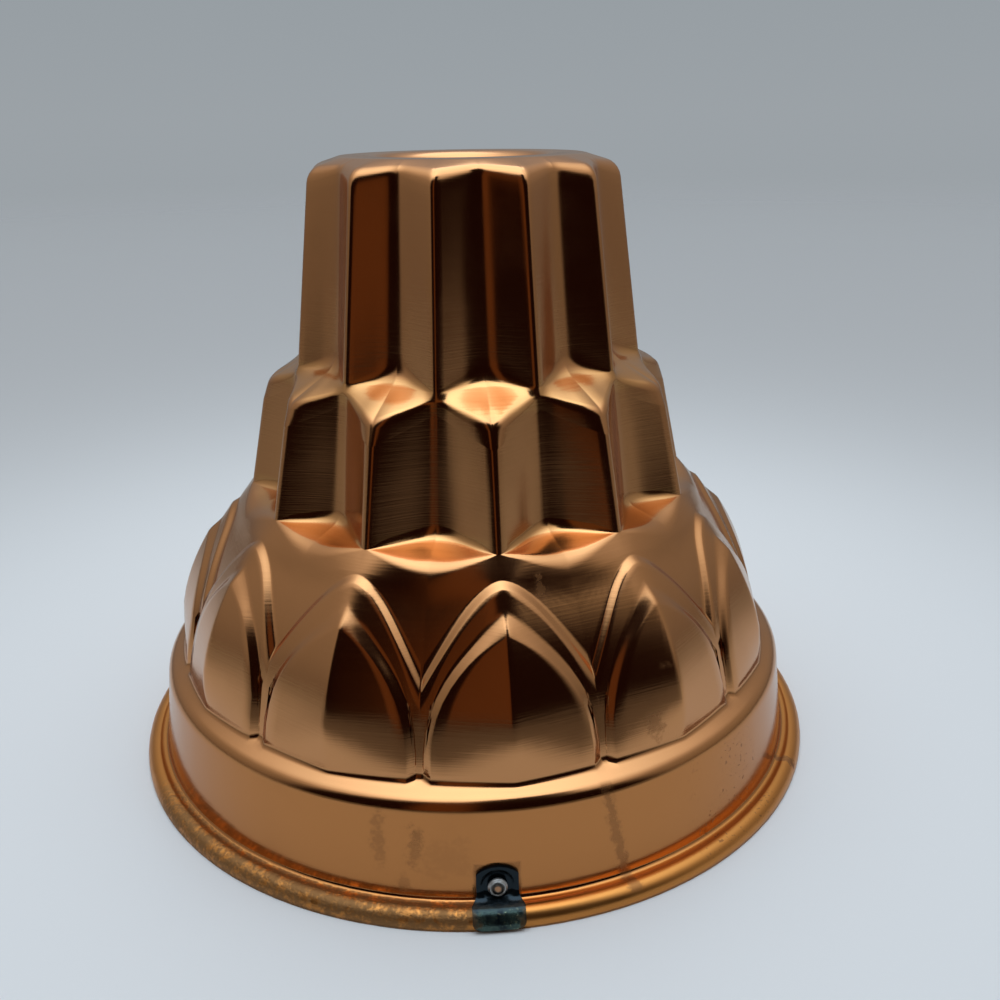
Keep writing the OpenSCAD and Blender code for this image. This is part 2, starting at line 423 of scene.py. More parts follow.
# Outlines of arch and panel; the sheet is RISE times as long as it is high
ARCH_H, ARCH_FOOT, ARCH_BEND = 43.4, 22.0, 1.75
PANEL_H, PANEL_DROP, PANEL_BEND, PANEL_SHARE = 36.5, 34.0, 2.85, 0.915
RISE = 1.25
DOME_FOOT_R, ARCH_LEVEL = 91.0, 0.86
HALF_W = DOME_FOOT_R * HALF * ARCH_LEVEL

# Ledge, band and lip
LEDGE_LIFT, LEDGE_SLOPE, LEDGE_ROUND, LEDGE_SHARE = 0.5, 0.42, 2.3, 0.2
SHOULDER_R, SHOULDER_ROUND = 94.55, 4.0
BAND_FOOT_R, BAND_FOOT_ROUND = 97.7, 1.8
BRIM_R, BRIM_Z = 99.8, 3.8
LIP_CENTRE, LIP_R, LIP_START, LIP_POINTS = (100.76, 0.9), 3.2, 105, 10
CUT_EDGE = (103.96, 0.0)

# Columns and rows of the patches, closer together where the sheet bends
COLUMNS = (
    0, 0.02, 0.05, 0.09, 0.15, 0.22, 0.30, 0.39, 0.48, 0.57, 0.66, 0.75, 0.83, 0.90, 0.95, 0.98, 1,
)
ARCH_STOPS = (1, 0.985, 0.965, 0.93, 0.885, 0.83, 0.765, 0.695, 0.61, 0.51, 0.40, 0.27, 0.12, 0)
PANEL_COLUMNS = (0, 0.03, 0.08, 0.2, 0.4, 0.62, 0.83, 1)
RISER_ROWS = (0, 0.14, 0.32, 0.5, 0.68, 0.86, 1)
LONG_STRETCH = (0.06, 0.5, 0.94)
SPANDREL_ROWS, BETWEEN_ROWS = 8, 6
MERGE = 0.004
OUTSIDE_R = 60.0

# A corner of a profile at (r, z): its arc's radius and segments, the segments of the straight way
# ahead, and the share of that way that the arc may take
Corner = namedtuple("Corner", "r z radius arc ahead share", defaults=(0.0, 0, 0, 0.48))
BACK_SHARE = 0.98
SHORTEST = 1e-6


def riser(share):
    """Height across a step: a straight slope with short round ends."""
    return mix(share, ease(share), RISER_SOFT)


def facet(ridge, valley, t):
    """Radius of a flat facet between radius ridge at t = 0 and radius valley at t = 1."""
    return ridge * valley * math.sin(HALF) / (
        ridge * math.sin(HALF * t) + valley * math.sin(HALF * (1 - t))
    )


def bend(u, width):
    """Offset that takes a slope of 1 away over the width from an edge at u = 0."""
    return u * u / (2 * width) - u + width / 2 if u < width else 0.0


def soft_facet(first, last, t, first_round, last_round):
    """The same facet with its two edges rounded in plan."""
    start = -first * HALF * (first - last * math.cos(HALF)) / (last * math.sin(HALF))
    end = -last * HALF * (first * math.cos(HALF) - last) / (first * math.sin(HALF))
    return facet(first, last, t) + start * bend(t, first_round) - end * bend(1 - t, last_round)


def star_facet(first, last, t, first_round, last_round):
    """A rounded facet that still reaches both radii, so that it is steeper between its edges."""
    a, b = first, last
    for _ in range(3):
        a += first - soft_facet(a, b, 0, first_round, last_round)
        b += last - soft_facet(a, b, 1, first_round, last_round)
    return soft_facet(a, b, t, first_round, last_round)


def dome_radius(t, z, level, panel_round):
    """Radius of the dome's sheet, level steps outwards: 0 spandrel, 1 between, 2 panel."""
    bow = clamp((z - BAND_H) / (DOME_Z - BAND_H))
    r = mix(BASE_R, DOME_R, bow * bow)
    soft = mix(OUTER_ROUND, panel_round, ease(level - 1))
    flat = soft_facet(r, r * math.cos(HALF), t, soft, CORNER_ROUND)
    flat = mix(flat, FOOT_IN * r, FOOT_BLEND * ease(1 - bow / FOOT_SHARE))
    return mix(flat, r, ease((bow - ROUND_FROM) / ROUND_SHARE)) + STEP * level


def rim_z(t):
    """Height of the lens shelf's outer rim."""
    return DOME_Z - SHELF_DROP * ease(t)


def arch_z(t):
    return BAND_H + mix(ARCH_H, ARCH_FOOT, t**ARCH_BEND)


def arch_edge(t):
    """Half width of the arch's step, measured upright."""
    slope = ARCH_BEND * (ARCH_H - ARCH_FOOT) * t ** (ARCH_BEND - 1) / HALF_W
    return ARCH_W * math.sqrt(1 + slope * slope) / RISE


def panel_line(stop, offset):
    """Point (t, z) beside the outline of the inner panel, offset outwards across the sheet."""
    x = PANEL_SHARE * HALF_W * (1 - stop**PANEL_BEND)
    y = (PANEL_H - PANEL_DROP * (1 - stop)) * RISE
    slant = PANEL_BEND * PANEL_SHARE * HALF_W * stop ** (PANEL_BEND - 1)
    across = Vector((PANEL_DROP * RISE, slant)).normalized()
    tip = Vector((0, 1 / across.y)) if across.y > POINT_STEEPEST else across
    across = across.lerp(tip, ease((stop - POINT_FROM) / POINT_SHARE))
    return (x + across.x * offset) / HALF_W, BAND_H + (y + across.y * offset) / RISE


def foot_line(offset):
    return PANEL_SHARE + offset / HALF_W, FOOT_Z


def panel_outline(side):
    """Points (t, z) along the panel's step from tip to foot: side 1 is its outer edge, -1 inner."""
    line = []
    for stop in ARCH_STOPS:
        half_width = PANEL_W + TIP_W * ease((stop - TIP_FROM) / TIP_SHARE) ** TIP_POWER
        line.append(panel_line(stop, half_width * side))
    return line + [foot_line(PANEL_W * side)]


def corner_arc(corner, before, spot, after, used):
    """Points of a corner's arc and its reach, where the arc before it has used part of the way."""
    back = before - spot
    ahead = after - spot
    if min(back.length, ahead.length) <= SHORTEST:
        return [spot] * (corner.arc + 1), 0.0
    turn = math.pi - back.angle(ahead)
    room = min(BACK_SHARE * (back.length - used), corner.share * ahead.length)
    reach = min(corner.radius * math.tan(turn / 2), room)
    weight = math.cos(turn / 2)
    a = spot + back.normalized() * reach
    b = spot + ahead.normalized() * reach
    arc = []
    for u in even(corner.arc + 1):
        wa, wc, wb = (1 - u) ** 2, 2 * u * (1 - u) * weight, u * u
        arc.append((a * wa + spot * wc + b * wb) / (wa + wc + wb))
    return arc, reach


def rounded_path(corners):
    """Points along a line of rounded corners and the straight stretches between them."""
    spots = [Vector((corner.r, corner.z)) for corner in corners]
    path = [spots[0]]
    used = 0.0
    for i in range(1, len(corners)):
        arc = [spots[i]]
        if i < len(corners) - 1:
            arc, used = corner_arc(corners[i], *spots[i - 1 : i + 2], used)
        steps = corners[i - 1].ahead
        shares = [k / steps for k in range(1, steps)]
        if len(shares) == len(LONG_STRETCH):
            shares = LONG_STRETCH
        leave = path[-1]
        path.extend(leave.lerp(arc[0], share) for share in shares)
        path.extend(arc)
    return path


def tier_path(t, settings):
    """Profile of the sheet from the tip of the tube over crown and star tiers to the dome."""
    ridge, valley = settings.ridge_round, settings.valley_round

    def upper(first, last):
        return star_facet(first, last, t, valley, ridge)

    def trough(first, last):
        return star_facet(first, last, t, TROUGH_ROUND, ridge)

    def brow(first, last):
        return soft_facet(first, last, t, BROW_ROUND, valley)

    def lower(first, last):
        return soft_facet(first + LOWER_SWELL, last + LOWER_SWELL, t, ridge, valley)

    def bowl(first, last):
        return star_facet(first, last, t, ridge, BOWL_ROUND)

    def star(form, radii, heights, roundings, arc, ahead):
        return Corner(form(*radii), mix(*heights, t), mix(*roundings, t), arc, ahead)

    def on_dome(z, *rest):
        return Corner(dome_radius(t, z, 0, settings.panel_round), z, *rest)

    return rounded_path(
        [
            Corner(TUBE_TIP_R, TUBE_TIP_Z, ahead=1),
            Corner(TUBE_R, TUBE_TIP_Z, TUBE_TIP_ROUND, 5, 3),
            Corner(TUBE_TOP_R, CROWN_Z, TUBE_TOP_ROUND, 4, 1),
            Corner(CROWN_R, CROWN_Z, CROWN_ROUND, 3, 1),
            star(upper, *UPPER_TOP),
            star(trough, *UPPER_FOOT),
            star(brow, *LOWER_BROW),
            star(lower, *LOWER_TOP),
            star(bowl, *LOWER_FOOT),
            on_dome(rim_z(t), mix(*RIM_ROUND, t), 6, 1, RIM_SHARE),
            on_dome(rim_z(t) - LIP_DROP),
        ]
    )


def ledge_z(r):
    """Height of the sloping ledge between the dome's foot and the band."""
    return BAND_H + LEDGE_LIFT - LEDGE_SLOPE * (r - BASE_R)


def skirt_path(t, level, panel_round):
    """Profile of the sheet from the foot of the dome over ledge and band to the cut lip."""
    start = dome_radius(t, FOOT_Z, level, panel_round)
    foot = dome_radius(t, BAND_H, level, panel_round)
    path = rounded_path(
        [
            Corner(start, FOOT_Z, ahead=1),
            Corner(foot, ledge_z(foot), LEDGE_ROUND, 4, 2, LEDGE_SHARE),
            Corner(SHOULDER_R, ledge_z(SHOULDER_R), SHOULDER_ROUND, 8, 4),
            Corner(BAND_FOOT_R, BRIM_Z, BAND_FOOT_ROUND, 5, 1),
            Corner(BRIM_R, BRIM_Z),
        ]
    )
    for share in even(LIP_POINTS):
        a = math.radians(mix(LIP_START, 0, share))
        path.append(Vector(LIP_CENTRE) + Vector((math.cos(a), math.sin(a))) * LIP_R)
    return path + [Vector(CUT_EDGE)]


def place_sheet(bm, sheet):
    """A grid whose points go to sheet[column][row] = (t, r, z)."""
    columns, rows = len(sheet) - 1, len(sheet[0]) - 1
    made = bmesh.ops.create_grid(bm, x_segments=columns, y_segments=rows, size=0.5)
    for vert in made["verts"]:
        column = round((vert.co.x + 0.5) * columns)
        row = round((vert.co.y + 0.5) * rows)
        t, r, z = sheet[column][row]
        vert.co = Vector((math.sin(HALF * t) * r, -math.cos(HALF * t) * r, z)) * MM


def turn_round(bm):
    """The half pitch mirrored at its ridge and turned round the axis."""
    bmesh.ops.mirror(bm, geom=bm.verts[:] + bm.edges[:] + bm.faces[:], axis="X", merge_dist=0.0)
    bmesh.ops.spin(
        bm,
        geom=bm.verts[:] + bm.edges[:] + bm.faces[:],
        axis=(0, 0, 1),
        angle=2 * math.pi * (FLUTES - 1) / FLUTES,
        steps=FLUTES - 1,
        use_duplicate=True,
    )
    bmesh.ops.remove_doubles(bm, verts=bm.verts[:], dist=MERGE * MM)


def point_outwards(bm, beyond=0.0):
    """Smooth faces that point away from the axis, judged by those beyond a radius in mm."""
    bmesh.ops.recalc_face_normals(bm, faces=bm.faces[:])
    outward = 0.0
    for face in bm.faces:
        centre = face.calc_center_median().xy
        if centre.length > beyond * MM:
            outward += face.normal.xy.dot(centre)
    if outward < 0:
        bmesh.ops.reverse_faces(bm, faces=bm.faces[:])
    for face in bm.faces:
        face.smooth = True


def build_shell(settings):
    """One half pitch of the sheet in patches, mirrored and turned round the axis."""
    bm = bmesh.new()
    soft = settings.panel_round

    def on_dome(t, z, level):
        return t, dome_radius(t, z, level, soft), z

    def along(t, path):
        return [(t, spot.x, spot.y) for spot in path]

    # Tube, crown, star tiers and lens shelf
    place_sheet(bm, [along(t, tier_path(t, settings)) for t in COLUMNS])

    # Spandrel above the outer arch, and the arch's step
    spandrel, outer_step = [], []
    for t in COLUMNS:
        high, low = rim_z(t) - LIP_DROP, arch_z(t) + arch_edge(t)
        spandrel.append([on_dome(t, mix(high, low, share), 0) for share in even(SPANDREL_ROWS)])
        step = [(arch_z(t) + arch_edge(t) * (1 - 2 * s), riser(s)) for s in RISER_ROWS]
        outer_step.append([on_dome(t, z, level) for z, level in step])
    place_sheet(bm, spandrel)
    place_sheet(bm, outer_step)

    # Sheet between the arches and the mullions
    outer = panel_outline(1)
    outer += [(mix(outer[-1][0], 1, 0.5), FOOT_Z), (1, FOOT_Z)]
    between = []
    for t, (low_t, low_z) in zip(COLUMNS, outer):
        high_z = arch_z(t) - arch_edge(t)
        spots = [(mix(t, low_t, share), mix(high_z, low_z, share)) for share in even(BETWEEN_ROWS)]
        between.append([on_dome(*spot, 1) for spot in spots])
    place_sheet(bm, between)

    # Step of the inner panel
    rows = [(panel_outline(1 - 2 * s), 1 + riser(s)) for s in RISER_ROWS]
    stops = range(len(ARCH_STOPS) + 1)
    place_sheet(bm, [[on_dome(*line[c], level) for line, level in rows] for c in stops])

    # Panel, ruled level by level from its ridge to its outline
    inner = panel_outline(-1)
    panel = [[on_dome(t * share, z, 2) for t, z in inner] for share in PANEL_COLUMNS]
    place_sheet(bm, panel)

    # Ledge, band and lip
    feet = [(inner[-1][0] * share, 2) for share in PANEL_COLUMNS]
    feet += [(line[-1][0], level) for line, level in rows[-2::-1]]
    feet += [(outer[-2][0], 1), (1, 1)]
    place_sheet(bm, [along(t, skirt_path(t, level, soft)) for t, level in feet])

    turn_round(bm)
    point_outwards(bm, OUTSIDE_R)
    return bm


def finish_mesh(bm, name, material):
    """The finished mesh as a piece with its material."""
    mesh = bpy.data.meshes.new(name)
    bm.to_mesh(mesh)
    bm.free()
    if not mesh.polygons:
        raise RuntimeError(name + " has no faces")
    piece = bpy.data.objects.new(name, mesh)
    bpy.context.collection.objects.link(piece)
    mesh.materials.append(material)
    return piece


# Marks on the sheet: (turn in degrees from the front, height, half width, half height, strength)

MARKS = (
    (-20.3, 18.5, 1.9, 7.0, 0.45),
    (-15.0, 17.5, 2.2, 6.0, 0.5),
    (-15.0, 20.8, 2.0, 1.6, 0.6),
    (-16.6, 7.5, 1.9, 3.0, 0.35),
    (-10.5, 14.5, 7.5, 5.5, 0.2),
    (24.5, 38.3, 3.0, 4.2, 0.5),
    (27.8, 51.7, 2.0, 0.9, 0.5),
    (7.8, 72.9, 1.8, 2.4, 0.8),
    (57.0, 3.6, 1.7, 1.7, 1.0),
)
MARK_FRAY = (3.4, 1.6)
BAND_MID_R = 97

# Places on the sheet as (from, to, soft edge), turns in degrees and heights and radii in mm
STREAK_TURN, STREAK_LEAN, STREAK_HEIGHTS, STREAK_FRAY = 16.4, 0.104, (3.5, 28.5, 1.5), (3.5, 1.5)
SPOT_TURNS, SPOT_HEIGHTS = (31, 45, 4), (4, 26, 3)
EATEN_TURNS = (-62, -9, 9)
LOWER_SHELF_Z, LOWER_SHELF_R = (79, 82, 2), (53, 62, 3)
UPPER_SHELF_Z, UPPER_SHELF_R = (113, 118, 2), (45, 56, 3)

# Soft limits as (outside, inside)
BRIM_FROM_R, BRIM_BELOW_Z, BAND_BELOW_Z = (97.9, 98.6), (6.0, 5.0), (30, 26)
TAB_SHADOW_FROM_R, TAB_SHADOW_ABOVE_Z = (94, 96), (2.5, 5.0)

# Painted shadow round the tab: radius of the band behind it, half width and top, in mm
TAB_SHADOW_R, TAB_SHADOW_HALF, TAB_SHADOW_TOP = 97.5, 5.3, 13.0

# Noises as (scale, detail, roughness), where brush is first stretched along the axis
BRUSH_SCALE, BRUSH = (50, 50, 2200), (1.0, 3.0, 0.6)
CLOUD, RIPPLE, RAGGED, FINE = (45.0, 3.0), (70.0, 1.0), (330.0, 4.0, 0.65), (1100.0, 2.0)

# How strongly each finish covers, roughens and, in metres, lifts the sheet, the painted reflection
# on the shelves and the painted shadow round the tab among them
SHELF_REFLECTION_SHARE, BAND_SHARE, BRIM_SHARE, PIT_SHARE = 0.7, 0.7, 0.85, 0.7
CLOUD_STAIN, STREAK_STAIN, SPOT_STAIN, TAB_SHADOW_SHARE = 0.12, 0.6, 0.8, 0.6
BRUSH_ROUGH, CLOUD_ROUGH, STAIN_ROUGH, PIT_ROUGH, BRIM_ROUGH = 0.05, 0.05, 0.25, 0.25, 0.18
BRUSH_DEPTH, RIPPLE_DEPTH, PIT_DEPTH = 0.000016, 0.00005, 0.00012
PITTED = (0.19, 0.12, 0.06, 1)


def copper_material(settings):
    """Satin copper-toned sheet, finely brushed round the axis, with stains on band and lip, shelves
    painted paler as a painted reflection, and a painted shadow round the tab.
    """
    material, nodes = new_material("copper_sheet_finish")
    where, x, y, z = nodes.own_place()
    reach = (x * x + y * y).root() * MM_PER_M
    height = z * MM_PER_M
    turn = x.angle(y * -1) * math.degrees(1)
    brush = nodes.noise(nodes.stretch(where, BRUSH_SCALE), *BRUSH)
    cloud = nodes.noise(where, *CLOUD)
    ripple = nodes.noise(where, *RIPPLE)
    ragged = nodes.noise(where, *RAGGED) - 0.5
    fine = nodes.noise(where, *FINE)

    def frayed(distance, coarse, small):
        return distance + ragged * coarse + (fine - 0.5) * small

    # Smudges
    stains_and_tab_shadow = cloud.rise(0.5, 0.85) * CLOUD_STAIN
    for place, level, wide, tall, strength in MARKS:
        side = (turn - place) * (BAND_MID_R * math.radians(1) / wide)
        rise = (height - level) / tall
        edge = frayed((side * side + rise * rise).root(), *MARK_FRAY)
        stains_and_tab_shadow = stains_and_tab_shadow.at_least(edge.rise(1.3, 0.3) * strength)

    # The streak under the ledge, spots to the right of it, and a painted shadow round the tab in the
    # stain colour
    streak = frayed(abs(turn - STREAK_TURN + height * STREAK_LEAN), *STREAK_FRAY)
    streak = streak.rise(1.2, 0.2) * height.band(*STREAK_HEIGHTS)
    stains_and_tab_shadow = stains_and_tab_shadow.at_least(streak * STREAK_STAIN)
    spots = fine.rise(0.62, 0.68) * turn.band(*SPOT_TURNS) * height.band(*SPOT_HEIGHTS)
    stains_and_tab_shadow = stains_and_tab_shadow.at_least(spots * cloud.rise(0.42, 0.55) * SPOT_STAIN)
    # Painted shadow of the tab: a thin ragged edge round the tab on the band, darkened in the stain
    # colour
    beside = abs(turn - math.degrees(TAB_TURN)) * (TAB_SHADOW_R * math.radians(1)) - TAB_SHADOW_HALF
    tab_shadow = (beside.at_least(height - TAB_SHADOW_TOP) + ragged).rise(0.9, 0.1)
    tab_shadow = tab_shadow * height.rise(*TAB_SHADOW_ABOVE_Z) * reach.rise(*TAB_SHADOW_FROM_R)
    stains_and_tab_shadow = stains_and_tab_shadow.at_least(tab_shadow * TAB_SHADOW_SHARE)

    # A dull brim all round, pitted at the left, and shelves painted paler as a painted reflection of
    # the bright light above
    brim = reach.rise(*BRIM_FROM_R) * height.rise(*BRIM_BELOW_Z)
    eaten = brim * turn.band(*EATEN_TURNS) * (fine * 0.5 + ragged + 0.5).rise(0.5, 0.85)
    # Painted reflection: the shelves between the tiers are painted paler, as if lit by the bright
    # light above
    lower_shelf_reflection = height.band(*LOWER_SHELF_Z) * reach.band(*LOWER_SHELF_R)
    upper_shelf_reflection = height.band(*UPPER_SHELF_Z) * reach.band(*UPPER_SHELF_R)
    colour = nodes.coats(
        rgba(settings.copper),
        (lower_shelf_reflection.at_least(upper_shelf_reflection) * SHELF_REFLECTION_SHARE, rgba(settings.shelf_reflection)),
        (height.rise(*BAND_BELOW_Z) * BAND_SHARE, rgba(settings.band)),
        (brim * BRIM_SHARE, rgba(settings.brim)),
        (stains_and_tab_shadow, rgba(settings.stain_and_shadow)),
        (eaten * PIT_SHARE, PITTED),
    )
    rough = settings.polish + BRUSH_ROUGH * brush + CLOUD_ROUGH * cloud.rise(0.5, 0.8)
    rough = rough + STAIN_ROUGH * stains_and_tab_shadow + PIT_ROUGH * eaten + BRIM_ROUGH * brim
    relief = brush * BRUSH_DEPTH + ripple * RIPPLE_DEPTH + eaten * fine * PIT_DEPTH
    nodes.metal(colour, 1.0, rough, relief)
    return material


# Hanger tab, in millimetres: its outer face as (r, z) from the top of its leg to its foot's end

TAB_TURN = math.radians(-3.4)
TAB_PATH = (
    (97.45, 13.2), (97.75, 11.0), (98.15, 8.0), (98.45, 6.6), (99.1, 5.7), (100.0, 5.25),
    (101.0, 5.1), (102.3, 4.85), (103.5, 4.1), (104.35, 3.0), (104.8, 1.9), (104.88, 0.95),
)
TAB_LEG, TAB_FOOT, TAB_CORNER, TAB_TOP_R = 5.15, 6.4, 2.0, 7.6
FLARE_FROM, FLARE_LENGTH = 7.0, 3.5
LEG_Z = 5.3
RIVET_Z, HEAD_Z = 8.3, 8.35
DISH_R, DISH_DEPTH, DISH_SOFT = 3.3, 0.45, 1.1
TAB_COLUMNS, TAB_ROWS = 24, 44
TAB_START, TAB_CROWDING = 0.001, 1.3
STRIP_EDGE = 0.2

# Finish of tab and rivet: soft limits in mm, colours, and depths of relief in metres
FOOT_BELOW_Z, RUST_FROM, SPECKS_ACROSS = (5.2, 4.0), (4.6, 6.2), (-0.5, 3.5, 2)
RUST_FRAY, HEAD_FRAY = 6, 0.4
BLOTCH, STEEL_GRAIN, RIVET_GRAIN = (420.0, 3.0), (1500.0, 2.0), (900.0, 2.0)
RUST_SHARE, SPECK_SHARE = 0.8, 0.7
SPECK = (0.42, 0.45, 0.28, 1)
HEAD_RING = (0.09, 0.08, 0.07, 1)
HEAD_MIDDLE = (0.5, 0.27, 0.15, 1)
STEEL_METALLIC, STEEL_ROUGH, BLOTCH_ROUGH, RUST_ROUGH = 0.8, 0.13, 0.1, 0.4
RIVET_ROUGH, RIVET_GRAIN_ROUGH = 0.3, 0.2
STEEL_DEPTH, RUST_DEPTH, RIVET_DEPTH, HEAD_DISH_DEPTH = 0.00003, 0.0001, 0.00004, 0.00015


def across_tab(x, y):
    """Distance to the right of the tab's middle, in mm."""
    return (x * math.cos(TAB_TURN) + y * math.sin(TAB_TURN)) * MM_PER_M


def steel_material(settings):
    """Blued steel, nearly black, with pale specks and rust at the foot."""
    material, nodes = new_material("blued_steel_finish")
    where, x, y, z = nodes.own_place()
    across = across_tab(x, y)
    blotch = nodes.noise(where, *BLOTCH)
    grain = nodes.noise(where, *STEEL_GRAIN)
    low = (z * MM_PER_M).rise(*FOOT_BELOW_Z)
    rust = low * (abs(across) + (blotch - 0.5) * RUST_FRAY).rise(*RUST_FROM)
    specks = low * grain.rise(0.6, 0.72) * across.band(*SPECKS_ACROSS)
    colour = nodes.coats(
        rgba(settings.blued),
        (low * blotch.rise(0.3, 0.6), rgba(settings.bloom)),
        (rust * RUST_SHARE, rgba(settings.rust)),
        (specks * SPECK_SHARE, SPECK),
    )
    rough = STEEL_ROUGH + BLOTCH_ROUGH * blotch + RUST_ROUGH * rust
    relief = grain * STEEL_DEPTH + rust * blotch * RUST_DEPTH
    nodes.metal(colour, STEEL_METALLIC, rough, relief)
    return material


def rivet_material(settings):
    """Dull rivet metal with a pale rim and a worn copper-toned middle."""
    material, nodes = new_material("rivet_finish")
    where, x, y, z = nodes.own_place()
    across = across_tab(x, y)
    height = z * MM_PER_M - HEAD_Z
    grain = nodes.noise(where, *RIVET_GRAIN)
    out = (across * across + height * height).root() + (grain - 0.5) * HEAD_FRAY
    colour = nodes.coats(
        rgba(settings.rivet),
        (out.rise(1.8, 1.4), HEAD_RING),
        (out.rise(1.0, 0.5), HEAD_MIDDLE),
    )
    relief = grain * RIVET_DEPTH + out.rise(1.5, 0.9) * HEAD_DISH_DEPTH
    relief = relief - out.band(1.3, 1.5, 0.3) * HEAD_DISH_DEPTH
    nodes.metal(colour, 1.0, RIVET_ROUGH + RIVET_GRAIN_ROUGH * grain, relief)
    return material


def tab_half_width(s, length):
    """Half width of the tab at distance s from its top."""
    arch = math.sqrt(TAB_TOP_R**2 - (TAB_TOP_R - min(s, TAB_TOP_R)) ** 2)
    if arch < TAB_LEG:
        return arch
    half = mix(TAB_LEG, TAB_FOOT, ease((s - FLARE_FROM) / FLARE_LENGTH))
    over = s - (length - TAB_CORNER)
    if over <= 0:
        return half
    return half - (TAB_CORNER - math.sqrt(max(0.0, TAB_CORNER**2 - over**2)))


def build_tab():
    """The tab's strip on a grid: round leg, dish round the rivet, foot bent over the lip."""
    spots = [Vector(p) for p in TAB_PATH]
    lengths = [0.0]
    for a, b in zip(spots, spots[1:]):
        lengths.append(lengths[-1] + (b - a).length)
    end = lengths[-1]
    bm = bmesh.new()
    made = bmesh.ops.create_grid(bm, x_segments=TAB_COLUMNS, y_segments=TAB_ROWS, size=0.5)
    for vert in made["verts"]:
        s = end * mix(TAB_START, 1, (0.5 - vert.co.y) ** TAB_CROWDING)
        k = next((i for i, length in enumerate(lengths) if length >= s), len(lengths) - 1)
        r, z = spots[k - 1].lerp(spots[k], (s - lengths[k - 1]) / (lengths[k] - lengths[k - 1]))
        across = 2 * vert.co.x * tab_half_width(s, end)
        if z > LEG_Z:
            away = math.hypot(across, z - RIVET_Z)
            r -= DISH_DEPTH * (1 - ease((away - DISH_R) / DISH_SOFT))
        turn = TAB_TURN + across / r
        vert.co = Vector((math.sin(turn) * r, -math.cos(turn) * r, z)) * MM
    point_outwards(bm)
    return bm


class MOULD_OT_shell(bpy.types.Operator):
    """Build the drawn shell: tube, crown, star tiers, arched dome, band and lip."""

    bl_idname = "mould.shell"
    bl_label = "Build shell"

    def execute(self, context):
        settings = context.scene.mould_shell_settings
        piece = finish_mesh(build_shell(settings), "drawn_shell", copper_material(settings))
        wall = piece.modifiers.new("Wall", "SOLIDIFY")
        wall.thickness = settings.sheet
        wall.offset = -1.0
        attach(piece, "root")
        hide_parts("mould_shell")
        return {"FINISHED"}


class MOULD_OT_fittings(bpy.types.Operator):
    """Build the bent hanger tab and give the rivet its metal."""

    bl_idname = "mould.fittings"
    bl_label = "Build tab and finish rivet"

    def execute(self, context):
        settings = context.scene.mould_fitting_settings
        tab = finish_mesh(build_tab(), "bent_tab", steel_material(settings))
        strip = tab.modifiers.new("Strip", "SOLIDIFY")
        strip.thickness = settings.strip
        strip.offset = -1.0
        edge = tab.modifiers.new("Edge", "BEVEL")
        edge.width = settings.strip * STRIP_EDGE
        edge.segments = 2
        edge.angle_limit = math.radians(50)
        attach(tab, "root")
        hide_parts("hanger_tab")
        metal = rivet_material(settings)
        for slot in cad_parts["rivet"].material_slots:
            slot.material = metal
        return {"FINISHED"}


# Where the photograph was taken from, before the turn about the mould's axis

CAMERA_TURN = math.radians(-5.67454)
CAMERA_PLACE = Vector((0, -0.28832, 0.18122))
CAMERA_YAW, CAMERA_PITCH, CAMERA_ROLL = (math.radians(a) for a in (1.78075, 21.18319, -0.89099))
LENS, SENSOR = 36, 36


def camera_matrix():
    level, roll = math.cos(CAMERA_PITCH), CAMERA_ROLL
    along, aside = math.cos(CAMERA_YAW), math.sin(CAMERA_YAW)
    forward = Vector((aside * level, along * level, -math.sin(CAMERA_PITCH)))
    right = Vector((along, -aside, 0))
    up = right.cross(forward)
    turned_right = right * math.cos(roll) + up * math.sin(roll)
    turned_up = up * math.cos(roll) - right * math.sin(roll)
    axes = Matrix((turned_right, turned_up, -forward)).transposed().to_4x4()
    return Matrix.Rotation(CAMERA_TURN, 4, "Z") @ Matrix.Translation(CAMERA_PLACE) @ axes


# Surroundings that the metal mirrors: each way as (x, y, z), with the cosines of its soft edge

FRONT, FRONT_EDGE = (-0.139, -0.990, 0), (0.36, 0.6)
DARK_SPOT, DARK_SPOT_EDGE = (0.132, -0.528, 0.839), (0.955, 0.985)
WARM_SIDE, WARM_SIDE_EDGE = (-0.30, -0.954, 0), (0.975, 0.998)
WINDOW, WINDOW_EDGE = (0.10, 0.42, 0.902), (0.94, 0.985)
GLOOM = (0.012, 0.004, 0.003, 1)
WARM = (0.13, 0.06, 0.026, 1)
WINDOW_LIGHT = (2.2, 2.6, 2.9, 1)
SKY = (
    (0.0, (0.21, 0.205, 0.20, 1)),
    (0.15, (0.28, 0.28, 0.27, 1)),
    (0.5, (0.38, 0.38, 0.37, 1)),
    (0.66, (0.60, 0.62, 0.63, 1)),
    (0.78, (0.95, 1.02, 1.06, 1)),
    (0.87, (1.3, 1.5, 1.65, 1)),
    (0.94, (1.8, 2.1, 2.35, 1)),
    (1.0, (2.4, 2.7, 3.0, 1)),
)
BACKDROP = ((0.0, (0.33, 0.36, 0.385, 1)), (0.2, (0.29, 0.325, 0.35, 1)))

# Table, in metres: how far the pool of light painted on its middle reaches, what the metal mirrors,
# and where it fades
TABLE_R, TABLE_SIDES = 30.0, 96
LIT_POOL_REACH, LIT_POOL_FALL = 0.31, 4
FADE = (0.7, 3.0)
FLOOR_FRONT_EDGE, GLOOM_FROM, GLOOM_TO_FAR = (0.37, 0.67), (0.16, 0.29), (0.4, 1.3)
MIRRORED_FAR, MIRRORED_NEAR = (0.28, 0.27, 0.25, 1), (0.66, 0.66, 0.66, 1)
GLOOM_NEAR, GLOOM_FAR = (0.13, 0.12, 0.11, 1), (0.015, 0.01, 0.008, 1)
LAMP_PLACE = (0, 0.05, 0.95)


def facing(x, y, z, way):
    return x * way[0] + y * way[1] + z * way[2]


